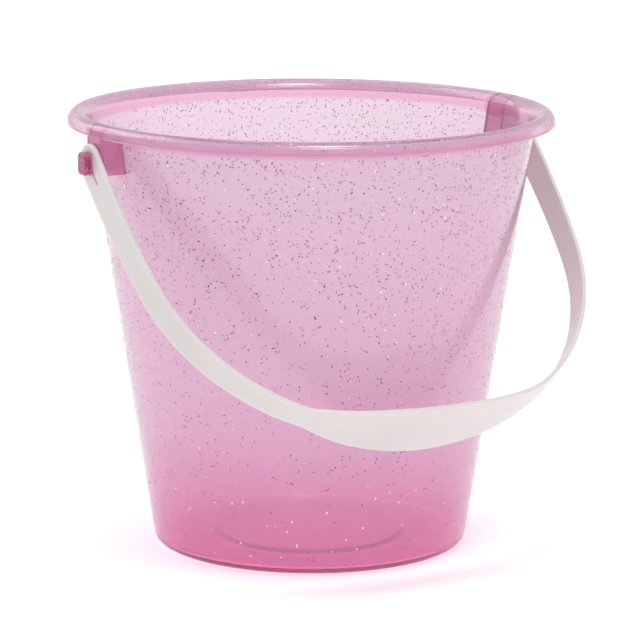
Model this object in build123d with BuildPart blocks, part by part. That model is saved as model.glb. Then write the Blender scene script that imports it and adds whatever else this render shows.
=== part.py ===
"""Sand bucket: a tapered moulded pail with a rolled rim and two ears, and a strap bail that swings on
the ears' studs. Millimetres, +Z up, origin on the bucket's axis at the plane that it stands on.
The bail's pivot axis is parallel to X, and the bail rests in front of the bucket, towards -Y."""
from build123d import *
from math import acos, cos, degrees, radians, sin
import os

# Driving dimensions of the pail
height = 161.7
rim_radius = 90.0
skirt_height = 157.0
wall_top_radius = 82.2
base_radius = 57.8
wall = 1.6
floor = 2.2
base_corner = 3.5
recess_radius = 33.6
recess_depth = 1.2
recess_slope = 1.6
recess_round = 1.2

# Driving dimensions of the rolled rim
crown_radius = 86.2
rim_wall = 1.7
skirt_round = 0.6

# Driving dimensions of the ears and their studs
pad_x = 89.8
ear_bottom = 144.0
ear_half_width = 6.0
ear_wall = 1.3
hollow_gap = 0.3
bevel_bottom = 2.2
bevel_top = 8.2
bevel_slope = 0.16
neck_radius = 2.3
head_height = 8.2
head_width = 6.4
head_depth = 2.6
head_corner = 1.8
head_round = 0.8
head_gap = 0.3
neck_root = 1.0

# Driving dimensions of the bail
pivot_height = 148.0
rest_angle = 45.5
strap = 1.6
strap_gap = 0.3
end_radius = 7.0
arm_end_width = 10.0
straight_length = 14.0
side_radius = 350.0
side_turn = 7.0
corner_radius = 76.0
grip_radius = 136.0
grip_width = 27.0
grip_half_length = 49.0
bore_clearance = 0.05
slit_width = 1.2
slit_length = 9.5
taper_end = 128.0

# Derived sizes
lens_start = 60.0
lens_depth = 90.0
slope = (wall_top_radius - base_radius) / skirt_height
lip_inner_radius = wall_top_radius - wall
strap_inner = rim_radius + strap_gap
strap_middle = strap_inner + strap / 2
head_x = strap_inner + strap + head_gap


def wall_radius(z):
    """Outer radius of the tapered wall at height z."""
    return base_radius + slope * z


def rim_arc(width, rise, start):
    """A quarter of an ellipse about the rim's crown, in the plane of the pail's profile."""
    return EllipticalCenterArc((crown_radius, skirt_height), width, rise, start, arc_size=90)


# ------------------------------------------------------------------ bucket
ear_reach = 14.0
ear_top = height - rim_wall
limit_bottom = ear_bottom - wall


def ring_space(crown_width, lip_width, rise):
    """A ring between the wall and the rim's crown, down to limit_bottom, whose top follows the crown."""
    with BuildPart() as space:
        with BuildSketch(Plane.XZ):
            with BuildLine():
                crown = rim_arc(crown_width, rise, 0)
                lip = rim_arc(lip_width, rise, 90)
                wall_offset = crown_radius - lip_width - wall_top_radius
                Polyline(
                    lip @ 1,
                    (wall_radius(limit_bottom) + wall_offset, limit_bottom),
                    (crown_radius + crown_width, limit_bottom),
                    crown @ 0,
                )
            make_face()
        revolve(axis=Axis.Z)
    return space.part


def rings(part, radius):
    """The circular edges of a part that have this radius."""
    return part.edges().filter_by(GeomType.CIRCLE).filter_by(lambda edge: abs(edge.radius - radius) < 0.01)


def ear_section(z, fold, inset):
    """Outline of an ear at height z: a flat pad, two bevels as deep as fold, and two sides, moved in by inset."""
    side = ear_half_width - inset
    with BuildSketch(Plane.XY.offset(z)) as section:
        with BuildLine():
            Polyline(
                (pad_x - ear_reach, 0),
                (pad_x - ear_reach, side),
                (pad_x - inset - fold, side),
                (pad_x - inset, side - fold * bevel_slope),
                (pad_x - inset, 0),
            )
            mirror(about=Plane.XZ)
        make_face()
    return section.sketch


# An ear grows from the middle of the wall and the crown, and its hollow stays clear of both
ear_space = ring_space(
    rim_radius - crown_radius,
    crown_radius - lip_inner_radius - wall / 2,
    height - skirt_height - wall / 2,
)
hollow_space = ring_space(
    rim_radius - crown_radius - rim_wall - hollow_gap,
    crown_radius - wall_top_radius - hollow_gap,
    height - skirt_height - rim_wall - hollow_gap,
)

with BuildPart() as ear:
    # The bevel widens upwards, so it meets the pail's wall in a point under the rim
    loft([ear_section(ear_bottom, bevel_bottom, 0), ear_section(ear_top, bevel_top, 0)], ruled=True)
    add(ear_space, mode=Mode.INTERSECT)

with BuildPart() as ear_hollow:
    # Open below, one ear wall inside the ear
    loft(
        [ear_section(limit_bottom, bevel_bottom, ear_wall), ear_section(ear_top, bevel_top, ear_wall)],
        ruled=True,
    )
    add(hollow_space, mode=Mode.INTERSECT)

with BuildPart() as bucket:
    with BuildSketch(Plane.XZ):
        with BuildLine():
            # Rolled rim: over the crown, down the skirt and back up inside it
            over = rim_arc(rim_radius - crown_radius, height - skirt_height, 0)
            inside = rim_arc(crown_radius - lip_inner_radius, height - skirt_height, 90)
            under = rim_arc(rim_radius - crown_radius - rim_wall, height - skirt_height - rim_wall, 0)
            back = rim_arc(crown_radius - lip_inner_radius - wall, height - skirt_height - rim_wall, 90)
            Line(over @ 0, under @ 0)
            # Tapered wall, foot and stepped floor
            Polyline(
                back @ 1,
                (base_radius, 0),
                (recess_radius + recess_slope, 0),
                (recess_radius, recess_depth),
                (0, recess_depth),
                (0, recess_depth + floor),
                (recess_radius, recess_depth + floor),
                (recess_radius + recess_slope, floor),
                (wall_radius(floor) - wall, floor),
                inside @ 1,
            )
        make_face()
    revolve(axis=Axis.Z)
    fillet(rings(bucket, base_radius), base_corner)
    fillet(rings(bucket, wall_radius(floor) - wall), base_corner - wall)
    fillet(rings(bucket, rim_radius) + rings(bucket, rim_radius - rim_wall), skirt_round)
    fillet(rings(bucket, recess_radius) + rings(bucket, recess_radius + recess_slope), recess_round)
    for turn in (0, 180):
        add(ear.part.rotate(Axis.Z, turn))
        add(ear_hollow.part.rotate(Axis.Z, turn), mode=Mode.SUBTRACT)
    for side in (1, -1):
        # Stud: a round neck that the bail turns on, and a flat head that holds it
        with BuildSketch(Plane.YZ.offset(side * (pad_x - neck_root))):
            with Locations((0, pivot_height)):
                Circle(neck_radius)
        extrude(amount=side * (head_x - pad_x + neck_root + head_gap))
        with BuildSketch(Plane.YZ.offset(side * head_x)):
            with Locations((0, pivot_height)):
                RectangleRounded(head_width, head_height, head_corner)
        extrude(amount=side * head_depth)
    tips = bucket.faces().filter_by(Axis.X).group_by(Axis.X)
    fillet(tips[0].edges() + tips[-1].edges(), head_round)

bucket.part.label = "bucket"

# ------------------------------------------------------------------ handle
# The bail lies in its own plane: x across the bucket, y from the pivot axis out to the grip.
reach = Vector(0, -cos(radians(rest_angle)), -sin(radians(rest_angle)))
across = Vector(1, 0, 0)
pivot = (0, 0, pivot_height)
bail_plane = Plane(origin=pivot, x_dir=across, z_dir=across.cross(reach))
arm_plane = Plane(origin=pivot, x_dir=reach, z_dir=across)
grip_plane = Plane(origin=pivot, x_dir=across, z_dir=reach)

# The corner's turn that brings the middle line to the centre of the grip, running across
side_cos = cos(radians(side_turn))
inset = strap_middle - side_radius * (1 - side_cos) - corner_radius * side_cos
corner_turn = degrees(acos(inset / (grip_radius - corner_radius))) - side_turn
grip_turn = 90 - side_turn - corner_turn


def bail_line(shift):
    """Half of the bail's line from its end to the middle of the grip, shifted outwards."""
    x = strap_middle + shift
    straight = Line((x, -end_radius), (x, straight_length))
    side = JernArc(straight @ 1, straight % 1, side_radius + shift, side_turn)
    corner = JernArc(side @ 1, side % 1, corner_radius + shift, corner_turn)
    grip = JernArc(corner @ 1, corner % 1, grip_radius + shift, grip_turn)
    return straight @ 0, grip @ 1


with BuildPart() as outline:
    # Seen from the side: arms that taper from their round ends to the grip
    with BuildSketch(arm_plane):
        Circle(end_radius)
        with BuildLine():
            Polyline(
                (0, -end_radius),
                (taper_end, -arm_end_width / 2),
                (taper_end, arm_end_width / 2),
                (0, end_radius),
                close=True,
            )
        make_face()
    extrude(amount=strap_middle + strap, both=True)
    # Seen from the front: a lens-shaped grip
    with BuildSketch(grip_plane.offset(lens_start)):
        with BuildLine():
            for s in (1, -1):
                ThreePointArc(
                    (-grip_half_length, s * arm_end_width / 2),
                    (0, s * grip_width / 2),
                    (grip_half_length, s * arm_end_width / 2),
                )
                Line(
                    (s * grip_half_length, -arm_end_width / 2),
                    (s * grip_half_length, arm_end_width / 2),
                )
        make_face()
    extrude(amount=lens_depth)

with BuildPart() as handle:
    with BuildSketch(bail_plane):
        with BuildLine():
            outer_end, outer_top = bail_line(strap / 2)
            inner_end, inner_top = bail_line(-strap / 2)
            Line(outer_end, inner_end)
            Line(outer_top, inner_top)
        make_face()
    extrude(amount=grip_width / 2, both=True)
    mirror(about=Plane.YZ)
    add(outline.part, mode=Mode.INTERSECT)
    with BuildSketch(arm_plane):
        Circle(neck_radius + bore_clearance)
        with Locations(((slit_length - slit_width / 2) / 2, 0)):
            SlotOverall(slit_length + slit_width / 2, slit_width)
    extrude(amount=strap_middle + strap, both=True, mode=Mode.SUBTRACT)

handle.part.label = "handle"

os.makedirs("parts", exist_ok=True)
export_step(bucket.part, "parts/bucket.step")
export_step(handle.part, "parts/handle.step")
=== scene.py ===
"""Looks for the sand bucket: translucent glitter plastic, a white strap bail, a pale floor, soft light."""
import math
import random

import bmesh
import bpy
from mathutils import Matrix, Vector


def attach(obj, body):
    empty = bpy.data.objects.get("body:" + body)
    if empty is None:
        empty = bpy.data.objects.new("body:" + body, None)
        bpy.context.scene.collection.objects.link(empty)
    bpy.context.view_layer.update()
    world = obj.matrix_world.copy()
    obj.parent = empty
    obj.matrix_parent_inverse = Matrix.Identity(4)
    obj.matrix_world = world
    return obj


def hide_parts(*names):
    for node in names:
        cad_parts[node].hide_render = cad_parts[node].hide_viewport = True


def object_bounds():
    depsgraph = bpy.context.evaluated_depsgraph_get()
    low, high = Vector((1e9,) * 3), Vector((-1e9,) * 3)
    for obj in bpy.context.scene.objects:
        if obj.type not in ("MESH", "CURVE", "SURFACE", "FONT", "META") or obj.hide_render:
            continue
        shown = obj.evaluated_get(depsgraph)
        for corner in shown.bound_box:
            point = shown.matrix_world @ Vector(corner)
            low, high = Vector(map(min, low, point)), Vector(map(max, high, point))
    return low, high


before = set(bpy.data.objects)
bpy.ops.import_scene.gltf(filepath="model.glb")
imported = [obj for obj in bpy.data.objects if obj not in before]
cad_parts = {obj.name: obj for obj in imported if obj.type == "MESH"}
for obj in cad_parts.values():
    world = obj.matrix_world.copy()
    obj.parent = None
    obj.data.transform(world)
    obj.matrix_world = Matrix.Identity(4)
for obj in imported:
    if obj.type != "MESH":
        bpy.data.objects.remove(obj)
cad_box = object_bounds()

# Where the camera stands, in the row frame
CAMERA_DISTANCE = 1.3278
CAMERA_HEIGHT = 0.3438
CAMERA_AZIMUTH = math.radians(-30.5)
CAMERA_YAW = 0.0018
CAMERA_PITCH = 0.1935
CAMERA_ROLL = 0.0047
CAMERA_LENS = 206.8
CAMERA_SENSOR = 36.0
CAMERA_NEAR = 0.05
CAMERA_FAR = 50.0

# The pail's wall, rim and floor, in metres, as in the CAD part
WALL = 0.0016
WALL_TOP = 0.157
FOOT_RADIUS = 0.0578
LIP_RADIUS = 0.0822
CROWN_RADIUS = 0.0862
RIM_OUTER = 0.0038
RIM_INNER = 0.0056
RIM_RISE = 0.0047
FLOOR_RADIUS = 0.053
FLOOR_TOP = 0.0022
STEP_RADIUS = 0.0344
STEP_HEIGHT = 0.0012

# Pink plastic: deeper at the foot and in the rolled rim, set by height alone, as (height share, colour)
PLASTIC_RAMP = (
    (0.0, (0.86, 0.47, 0.70, 1)),
    (0.3, (0.91, 0.78, 0.89, 1)),
    (0.9, (0.92, 0.85, 0.92, 1)),
    (0.955, (0.92, 0.85, 0.92, 1)),
    (0.962, (0.89, 0.61, 0.79, 1)),
    (0.975, (0.90, 0.64, 0.81, 1)),
    (0.99, (0.92, 0.80, 0.90, 1)),
)
PLASTIC_CLARITY = 0.80
PLASTIC_ROUGHNESS = 0.12
PLASTIC_IOR = 1.42
PLASTIC_COAT = 0.12
PLASTIC_COAT_ROUGHNESS = 0.03
DYE_COLOUR = (0.86, 0.0, 0.40, 1)
DYE_DENSITY = 100.0
WAVE_SCALE = 60.0
WAVE_DETAIL = 2.0
WAVE_STRENGTH = 0.25
WAVE_HEIGHT = 0.0004

# The ears and studs are painted deeper by place: where they start along X, half-width in Y, and heights
EAR_START = 0.0800
STUD_START = 0.0910
EAR_HALF_WIDTH = 0.0066
EAR_LOW = 0.1420
EAR_HIGH = 0.1605
EAR_COLOUR = (0.84, 0.47, 0.68, 1)
STUD_COLOUR = (0.70, 0.19, 0.42, 1)
EAR_CLARITY = 0.76

# Welding the frame's meshes, and the angle over which an edge is a crease
WELD_DISTANCE = 0.000002
CREASE = math.radians(38)

# White strap: its colours, the light that it lets through, its gloss, grain and eased edges
STRAP_DARK = (0.62, 0.60, 0.59, 1)
STRAP_LIGHT = (0.69, 0.675, 0.665, 1)
STRAP_SHADE_SCALE = 45.0
STRAP_SHADE_DETAIL = 4.0
STRAP_GLOW = 0.8
STRAP_GLOW_RADII = (1.0, 0.9, 0.85)
STRAP_GLOW_DEPTH = 0.0035
STRAP_ROUGHNESS = (0.30, 0.42)
GRAIN_SCALE = 1400.0
GRAIN_DETAIL = 2.0
GRAIN_STRENGTH = 0.12
GRAIN_HEIGHT = 0.0001
STRAP_EDGE = 0.0004
STRAP_EDGE_STEPS = 3

# Light: each sun has a name, an aim in the camera's heading, a strength and a spread in degrees
WHITE = (1, 1, 1, 1)
LIGHT_BOUNCES = 32
ROOM_STRENGTH = 0.66
SUNS = (
    ("overhead", (-0.08, 0.14, -1), 0.74, 18),
    ("right_side", (-1, 0.3, -0.55), 0.15, 40),
    ("left_back", (0.6, -0.5, -0.6), 0.60, 40),
    ("rim_glint", (-0.08, 0.14, -1), 0.16, 4),
)

# The stage floor, which glows a little and stands just below the pail's foot
STAGE_HALF = 8.0
STAGE_GAP = 0.0002
STAGE_COLOUR = (0.93, 0.93, 0.93, 1)
STAGE_ROUGHNESS = 0.9
STAGE_SPECULAR = 0.1
STAGE_GLOW = 0.22

# Glitter
FLAKE_SEED = 21
FLAKE_RADII = (0.00018, 0.00031)
FLAKE_THICKNESS = 0.00005
FLAKE_TILT = 0.04
FLAKE_LOWEST = 0.005
FLAKE_HIGHEST = 0.155
FOOT_BAND = 0.03
INNER_SHARE = 0.2
THINNEST = 0.14
RIM_ROLL = (0.15, 0.85)
RIM_SINK = 0.00005
STEP_MARGIN = 0.002
FLAKE_DARK = (0.19, 0.08, 0.16, 1)
FLAKE_PALE = (0.60, 0.42, 0.54, 1)
FLAKE_BRIGHT = (0.97, 0.90, 0.94, 1)
FILM_METAL = 0.85
FILM_ROUGHNESS = 0.25
DARK_FILM, PALE_FILM, BRIGHT_FILM = range(3)


def add_object(name, data):
    """A new object in the scene."""
    added = bpy.data.objects.new(name, data)
    bpy.context.scene.collection.objects.link(added)
    return added


def add_camera():
    """A long lens about twice as high as the pail, turned 30.5 degrees from the front of the bail."""
    camera = add_object("camera", bpy.data.cameras.new("camera"))
    camera.data.lens = CAMERA_LENS
    camera.data.sensor_width = CAMERA_SENSOR
    camera.data.clip_start = CAMERA_NEAR
    camera.data.clip_end = CAMERA_FAR
    place = Vector((math.sin(CAMERA_AZIMUTH), -math.cos(CAMERA_AZIMUTH), 0)) * CAMERA_DISTANCE
    place.z = CAMERA_HEIGHT
    turn = Matrix.Rotation(CAMERA_AZIMUTH - CAMERA_YAW, 4, "Z")
    tilt = Matrix.Rotation(math.pi / 2 - CAMERA_PITCH, 4, "X")
    roll = Matrix.Rotation(CAMERA_ROLL, 4, "Z")
    camera.matrix_world = Matrix.Translation(place) @ turn @ tilt @ roll
    bpy.context.scene.camera = camera


def new_material(name):
    """A new material with its nodes, links and Principled shader."""
    material = bpy.data.materials.new(name)
    material.use_nodes = True
    nodes = material.node_tree.nodes
    return material, nodes, material.node_tree.links, nodes["Principled BSDF"]


def math_node(nodes, links, operation, value, *numbers):
    """A Math node that takes one linked value and plain numbers or linked ones, and gives its output."""
    node = nodes.new("ShaderNodeMath")
    node.operation = operation
    links.new(value, node.inputs[0])
    for place, number in enumerate(numbers, start=1):
        if isinstance(number, float):
            node.inputs[place].default_value = number
        else:
            links.new(number, node.inputs[place])
    return node.outputs[0]


def tint_node(nodes, links, factor, under, colour):
    """A mix from a linked colour to a plain one."""
    node = nodes.new("ShaderNodeMix")
    node.data_type = "RGBA"
    links.new(factor, node.inputs["Factor"])
    links.new(under, node.inputs["A"])
    node.inputs["B"].default_value = colour
    return node.outputs["Result"]


def noise_node(nodes, links, vector, scale, detail):
    """Noise over linked coordinates."""
    node = nodes.new("ShaderNodeTexNoise")
    node.inputs["Scale"].default_value = scale
    node.inputs["Detail"].default_value = detail
    links.new(vector, node.inputs["Vector"])
    return node.outputs["Fac"]


def add_bump(nodes, links, shader, height, strength, distance):
    """Bends a shader's normal by a linked height."""
    node = nodes.new("ShaderNodeBump")
    node.inputs["Strength"].default_value = strength
    node.inputs["Distance"].default_value = distance
    links.new(height, node.inputs["Height"])
    links.new(node.outputs["Normal"], shader.inputs["Normal"])


def bucket_plastic():
    """Pink moulding, clear but milky: dyed through its depth, with its surface colour set by place."""
    material, nodes, links, shader = new_material("pink_glitter_plastic")
    output = nodes["Material Output"]
    shader.inputs["Roughness"].default_value = PLASTIC_ROUGHNESS
    shader.inputs["IOR"].default_value = PLASTIC_IOR
    shader.inputs["Coat Weight"].default_value = PLASTIC_COAT
    shader.inputs["Coat Roughness"].default_value = PLASTIC_COAT_ROUGHNESS
    tint = nodes.new("ShaderNodeVolumeAbsorption")
    tint.inputs["Color"].default_value = DYE_COLOUR
    tint.inputs["Density"].default_value = DYE_DENSITY
    links.new(tint.outputs[0], output.inputs["Volume"])
    coordinates = nodes.new("ShaderNodeTexCoord")
    split = nodes.new("ShaderNodeSeparateXYZ")
    rise = nodes.new("ShaderNodeMapRange")
    rise.inputs["From Max"].default_value = cad_box[1][2]
    depth = nodes.new("ShaderNodeValToRGB")
    stops = depth.color_ramp.elements
    stops[0].position, stops[0].color = PLASTIC_RAMP[0]
    stops[1].position, stops[1].color = PLASTIC_RAMP[-1]
    for position, colour in PLASTIC_RAMP[1:-1]:
        stops.new(position).color = colour
    links.new(coordinates.outputs["Object"], split.inputs[0])
    links.new(split.outputs["Z"], rise.inputs["Value"])
    links.new(rise.outputs["Result"], depth.inputs["Fac"])
    # Masks of the ears and studs
    middle, reach = (EAR_LOW + EAR_HIGH) / 2, (EAR_HIGH - EAR_LOW) / 2
    in_height = math_node(nodes, links, "COMPARE", split.outputs["Z"], middle, reach)
    in_width = math_node(nodes, links, "COMPARE", split.outputs["Y"], 0.0, EAR_HALF_WIDTH)
    beyond = math_node(nodes, links, "ABSOLUTE", split.outputs["X"])
    past_ear = math_node(nodes, links, "GREATER_THAN", beyond, EAR_START)
    past_stud = math_node(nodes, links, "GREATER_THAN", beyond, STUD_START)
    band = math_node(nodes, links, "MULTIPLY", in_height, in_width)
    ear = math_node(nodes, links, "MULTIPLY", band, past_ear)
    ear_tint = tint_node(nodes, links, ear, depth.outputs["Color"], EAR_COLOUR)
    stud_tint = tint_node(nodes, links, past_stud, ear_tint, STUD_COLOUR)
    links.new(stud_tint, shader.inputs["Base Color"])
    clarity = nodes.new("ShaderNodeMapRange")
    clarity.inputs["To Min"].default_value = PLASTIC_CLARITY
    clarity.inputs["To Max"].default_value = EAR_CLARITY
    links.new(ear, clarity.inputs["Value"])
    links.new(clarity.outputs["Result"], shader.inputs["Transmission Weight"])
    # The mould's faint waves bend what is seen through the wall
    waves = noise_node(nodes, links, coordinates.outputs["Object"], WAVE_SCALE, WAVE_DETAIL)
    add_bump(nodes, links, shader, waves, WAVE_STRENGTH, WAVE_HEIGHT)
    # Light passes to the floor and through the walls without caustics
    clear = nodes.new("ShaderNodeBsdfTransparent")
    path = nodes.new("ShaderNodeLightPath")
    mix = nodes.new("ShaderNodeMixShader")
    links.new(path.outputs["Is Shadow Ray"], mix.inputs[0])
    links.new(shader.outputs[0], mix.inputs[1])
    links.new(clear.outputs[0], mix.inputs[2])
    links.new(mix.outputs[0], output.inputs["Surface"])
    return material


def strap_plastic():
    """White moulding that lets a little light through, with a fine satin grain and uneven gloss."""
    material, nodes, links, shader = new_material("white_strap_plastic")
    shader.inputs["Subsurface Weight"].default_value = STRAP_GLOW
    shader.inputs["Subsurface Radius"].default_value = STRAP_GLOW_RADII
    shader.inputs["Subsurface Scale"].default_value = STRAP_GLOW_DEPTH
    coordinates = nodes.new("ShaderNodeTexCoord")
    shade = noise_node(nodes, links, coordinates.outputs["Object"], STRAP_SHADE_SCALE, STRAP_SHADE_DETAIL)
    grain = noise_node(nodes, links, coordinates.outputs["Object"], GRAIN_SCALE, GRAIN_DETAIL)
    colours = nodes.new("ShaderNodeValToRGB")
    colours.color_ramp.elements[0].color = STRAP_DARK
    colours.color_ramp.elements[1].color = STRAP_LIGHT
    links.new(shade, colours.inputs["Fac"])
    links.new(colours.outputs["Color"], shader.inputs["Base Color"])
    gloss = nodes.new("ShaderNodeMapRange")
    gloss.inputs["To Min"].default_value, gloss.inputs["To Max"].default_value = STRAP_ROUGHNESS
    links.new(shade, gloss.inputs["Value"])
    links.new(gloss.outputs["Result"], shader.inputs["Roughness"])
    add_bump(nodes, links, shader, grain, GRAIN_STRENGTH, GRAIN_HEIGHT)
    return material


def flake_film(name, colour):
    """Glitter film: metal in one colour, which flashes where a flake faces a light."""
    material, _, _, shader = new_material(name)
    shader.inputs["Base Color"].default_value = colour
    shader.inputs["Metallic"].default_value = FILM_METAL
    shader.inputs["Roughness"].default_value = FILM_ROUGHNESS
    return material


def add_flake(mesh, place, normal, turn, radius, film):
    """A closed hexagonal flake of one film: two six-sided faces and a rim, square to a normal."""
    first = normal.orthogonal().normalized()
    second = normal.cross(first)
    rings = []
    for side in (-0.5, 0.5):
        ring = []
        for corner in range(6):
            angle = turn + corner * math.pi / 3
            spoke = first * math.cos(angle) + second * math.sin(angle)
            ring.append(mesh.verts.new(place + spoke * radius + normal * side * FLAKE_THICKNESS))
        rings.append(ring)
    faces = [mesh.faces.new(rings[1]), mesh.faces.new(list(reversed(rings[0])))]
    for corner in range(6):
        after = (corner + 1) % 6
        faces.append(mesh.faces.new((rings[0][corner], rings[0][after], rings[1][after], rings[1][corner])))
    for face in faces:
        face.material_index = film


def around_axis(radius, around, height):
    """A point at a radius, an angle about the pail's axis and a height."""
    return Vector((radius * math.cos(around), radius * math.sin(around), height))


def skin_spot(chance, height, inner_share):
    """A place on the wall's outer or inner skin, the direction out of it, and a film."""
    taper = (LIP_RADIUS - FOOT_RADIUS) / WALL_TOP
    around = chance.uniform(0, 2 * math.pi)
    outward = around_axis(1, around, -taper).normalized()
    place = around_axis(FOOT_RADIUS + taper * height, around, height)
    if chance.random() < inner_share:
        return place - outward * WALL, -outward, PALE_FILM
    return place, outward, DARK_FILM


def wall_spot(chance):
    """A spot anywhere on the wall; spots crowd towards the rim."""
    while True:
        height = chance.uniform(FLAKE_LOWEST, FLAKE_HIGHEST)
        if chance.random() < THINNEST + (1 - THINNEST) * (height / WALL_TOP) ** 2:
            return skin_spot(chance, height, INNER_SHARE)


def foot_spot(chance):
    """A spot on the outer skin just above the foot."""
    return skin_spot(chance, chance.uniform(FLAKE_LOWEST, FOOT_BAND), 0.0)


def rim_spot(chance):
    """A place just under the rolled rim's outer skin, the direction out of it, and a film."""
    around = chance.uniform(0, 2 * math.pi)
    roll = chance.uniform(*RIM_ROLL) * math.pi
    half_width = RIM_OUTER if roll < math.pi / 2 else RIM_INNER
    radius = CROWN_RADIUS + half_width * math.cos(roll)
    place = around_axis(radius, around, WALL_TOP + RIM_RISE * math.sin(roll))
    steepness = half_width * math.sin(roll) / (RIM_RISE * max(abs(math.cos(roll)), 0.001))
    facing = 1 if roll < math.pi / 2 else -1
    outward = around_axis(facing, around, steepness).normalized()
    return place - outward * RIM_SINK, outward, DARK_FILM


def floor_spot(chance):
    """A place on the upper skin of the pail's stepped floor, straight up, and a film."""
    radius = STEP_RADIUS
    while abs(radius - STEP_RADIUS) < STEP_MARGIN:
        radius = FLOOR_RADIUS * math.sqrt(chance.random())
    around = chance.uniform(0, 2 * math.pi)
    level = FLOOR_TOP + (STEP_HEIGHT if radius < STEP_RADIUS else 0)
    return around_axis(radius, around, level), Vector((0, 0, 1)), PALE_FILM


# Name, place, number of flakes and the share of bright ones
GLITTER = (
    ("glitter_wall", wall_spot, 8000, 0.035),
    ("glitter_rim", rim_spot, 700, 0.35),
    ("glitter_foot", foot_spot, 160, 0.7),
    ("glitter_floor", floor_spot, 360, 0.6),
)


def add_glitter():
    """Flakes in the skin of the plastic, some dark and some bright, in one piece per region."""
    films = (
        flake_film("dark_glitter", FLAKE_DARK),
        flake_film("pale_glitter", FLAKE_PALE),
        flake_film("bright_glitter", FLAKE_BRIGHT),
    )
    chance = random.Random(FLAKE_SEED)
    for name, spot, count, bright_share in GLITTER:
        mesh = bmesh.new()
        for _ in range(count):
            place, outward, film = spot(chance)
            tilt = Vector([chance.gauss(0, FLAKE_TILT) for _ in range(3)])
            if chance.random() < bright_share:
                film = BRIGHT_FILM
            size = chance.uniform(*FLAKE_RADII)
            add_flake(mesh, place, (outward + tilt).normalized(), chance.uniform(0, math.pi), size, film)
        flakes = bpy.data.meshes.new(name)
        mesh.to_mesh(flakes)
        mesh.free()
        for material in films:
            flakes.materials.append(material)
        glitter = add_object(name, flakes)
        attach(glitter, "bucket")


def dress(node, material):
    """Gives a CAD node its material."""
    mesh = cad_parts[node].data
    mesh.materials.clear()
    mesh.materials.append(material)


def eased_copy(node, name, material, edge_round):
    """A welded, closed copy of a CAD node with smooth shading and eased edges, which stands for it."""
    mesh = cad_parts[node].data.copy()
    mesh.name = name
    mesh.materials.clear()
    mesh.materials.append(material)
    if "custom_normal" in mesh.attributes:
        mesh.attributes.remove(mesh.attributes["custom_normal"])
    shell = bmesh.new()
    shell.from_mesh(mesh)
    bmesh.ops.remove_doubles(shell, verts=shell.verts, dist=WELD_DISTANCE)
    bmesh.ops.dissolve_degenerate(shell, edges=shell.edges, dist=WELD_DISTANCE)
    for face in shell.faces:
        face.smooth = True
        face.material_index = 0
    shell.to_mesh(mesh)
    shell.free()
    piece = add_object(name, mesh)
    bevel = piece.modifiers.new("eased_edges", "BEVEL")
    bevel.limit_method = "ANGLE"
    bevel.angle_limit = CREASE
    bevel.width = edge_round
    bevel.segments = STRAP_EDGE_STEPS
    bevel.use_clamp_overlap = False
    normals = piece.modifiers.new("even_normals", "WEIGHTED_NORMAL")
    normals.mode = "FACE_AREA"
    normals.weight = 100
    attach(piece, node)
    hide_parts(node)


def add_floor():
    """The pale stage floor."""
    mesh = bpy.data.meshes.new("floor")
    corners = [(x * STAGE_HALF, y * STAGE_HALF, -STAGE_GAP) for x, y in ((-1, -1), (1, -1), (1, 1), (-1, 1))]
    mesh.from_pydata(corners, [], [(0, 1, 2, 3)])
    floor = add_object("floor", mesh)
    material, _, _, shader = new_material("floor_paint")
    shader.inputs["Base Color"].default_value = STAGE_COLOUR
    shader.inputs["Roughness"].default_value = STAGE_ROUGHNESS
    shader.inputs["Specular IOR Level"].default_value = STAGE_SPECULAR
    shader.inputs["Emission Color"].default_value = WHITE
    shader.inputs["Emission Strength"].default_value = STAGE_GLOW
    mesh.materials.append(material)


def add_sun(name, aim, strength, spread):
    """A far, soft light that shines along aim, in the camera's heading, so the floor is lit evenly."""
    sun = add_object(name, bpy.data.lights.new(name, "SUN"))
    sun.data.energy = strength
    sun.data.angle = math.radians(spread)
    turned = Matrix.Rotation(CAMERA_AZIMUTH, 4, "Z") @ Vector(aim)
    sun.matrix_world = turned.to_track_quat("-Z", "Y").to_matrix().to_4x4()


def add_light():
    """A bright pale room, a soft sun overhead, two from the sides, and a small one for the rim's glints."""
    world = bpy.data.worlds.new("studio")
    world.use_nodes = True
    world.node_tree.nodes["Background"].inputs["Color"].default_value = WHITE
    world.node_tree.nodes["Background"].inputs["Strength"].default_value = ROOM_STRENGTH
    bpy.context.scene.world = world
    for name, aim, strength, spread in SUNS:
        add_sun(name, aim, strength, spread)


add_camera()
bpy.context.scene.view_settings.view_transform = "Standard"
bpy.context.scene.cycles.max_bounces = LIGHT_BOUNCES
bpy.context.scene.cycles.transmission_bounces = LIGHT_BOUNCES
bpy.context.scene.cycles.transparent_max_bounces = LIGHT_BOUNCES
dress("bucket", bucket_plastic())
eased_copy("handle", "handle_strap", strap_plastic(), STRAP_EDGE)
add_glitter()
add_floor()
add_light()
